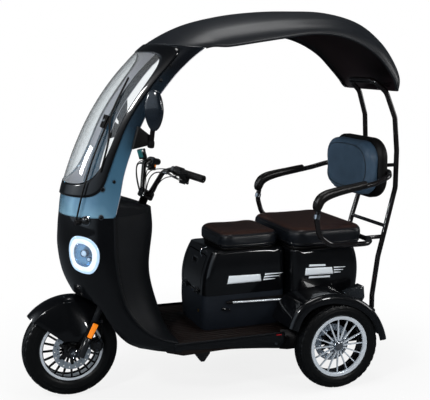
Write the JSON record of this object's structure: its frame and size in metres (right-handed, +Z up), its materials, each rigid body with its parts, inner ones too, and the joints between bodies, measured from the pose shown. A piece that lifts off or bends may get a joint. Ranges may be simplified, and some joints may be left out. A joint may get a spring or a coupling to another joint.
{
  "type": "three-wheeled electric scooter with windscreen and canopy roof",
  "caption": "Open electric trike scooter with a tall curved windscreen, an arched roof on bowed rear posts, a driver's seat and a wide passenger seat with armrests.",
  "frame": {"origin": "on the ground, under the middle of the whole vehicle", "axes": "+Z up, the front looks along -Y, +X is the vehicle's left-hand side"},
  "size_m": [0.804, 1.8368, 1.7454],
  "materials": {
    "gloss_black": "gloss",
    "roof_black": "satin",
    "frame_blue_black": "gloss",
    "clear_screen": "clear",
    "tail_lens": "gloss",
    "lamp": "clear",
    "matte_grey": "matte",
    "floor_grey": "matte",
    "frame_black": "satin",
    "strip_silver": "satin",
    "seat_vinyl": "matte",
    "back_vinyl": "matte",
    "tyre": "matte",
    "rim": "gloss",
    "disc_steel": "brushed",
    "axle_steel": "satin",
    "fork_grey": "satin",
    "grip_rubber": "matte",
    "mirror_black": "satin"
  },
  "bodies": {
    "root": {"front_apron": "gloss_black", "headlamps": "lamp", "windscreen_frame": "frame_blue_black", "windscreen": "clear_screen", "roof": "roof_black", "inner_shield": "matte_grey", "column_lid": "matte_grey", "floorboard": "floor_grey", "chassis": "frame_black", "front_body": "gloss_black", "lower_skirt": "matte_grey", "side_strips": "strip_silver", "battery_pack": "frame_black", "rear_body": "gloss_black", "front_seat_pan": "floor_grey", "front_seat": "seat_vinyl", "rear_seat_pan": "floor_grey", "rear_seat": "seat_vinyl", "backrest": "back_vinyl", "backrest_shell": "matte_grey", "seat_rail": "frame_black", "armrest_pads": "grip_rubber", "roof_posts": "frame_black", "roof_plate": "frame_black", "rear_axle": "axle_steel", "shocks": "frame_black", "rear_fenders": "gloss_black", "tail_lamps": "tail_lens", "arch_liner": "matte_grey", "mirrors": "mirror_black", "wiper": "frame_black"},
    "steering": {"fork": "fork_grey", "front_axle": "axle_steel", "front_fender": "gloss_black", "handlebar": "frame_black", "grips": "grip_rubber", "switch_housings": "floor_grey", "brake_levers": "frame_black"},
    "hatch": {"battery_door": "gloss_black"},
    "front_wheel": {"front_tyre": "tyre", "front_rim": "rim", "front_disc": "disc_steel"},
    "rear_wheel_left": {"rear_left_tyre": "tyre", "rear_left_rim": "rim", "rear_left_disc": "disc_steel"},
    "rear_wheel_right": {"rear_right_tyre": "tyre", "rear_right_rim": "rim", "rear_right_disc": "disc_steel"}
  },
  "joints": [
    {"name": "steering", "type": "hinge", "parent": "root", "child": "steering", "pos_m": [0, -0.55591, 0.4], "axis": [0, 0.4067, 0.9135], "range_deg": [-35, 35]},
    {"name": "battery_door_hinge", "type": "hinge", "parent": "root", "child": "hatch", "pos_m": [0, -0.114, 0.455], "axis": [1, 0, 0], "range_deg": [0, 80]},
    {"name": "front_wheel_spin", "type": "hinge", "parent": "steering", "child": "front_wheel", "pos_m": [0, -0.699, 0.2195], "axis": [1, 0, 0], "continuous": true},
    {"name": "rear_left_wheel_spin", "type": "hinge", "parent": "root", "child": "rear_wheel_left", "pos_m": [0.355, 0.482, 0.2065], "axis": [1, 0, 0], "continuous": true},
    {"name": "rear_right_wheel_spin", "type": "hinge", "parent": "root", "child": "rear_wheel_right", "pos_m": [-0.355, 0.482, 0.2065], "axis": [1, 0, 0], "continuous": true}
  ]
}
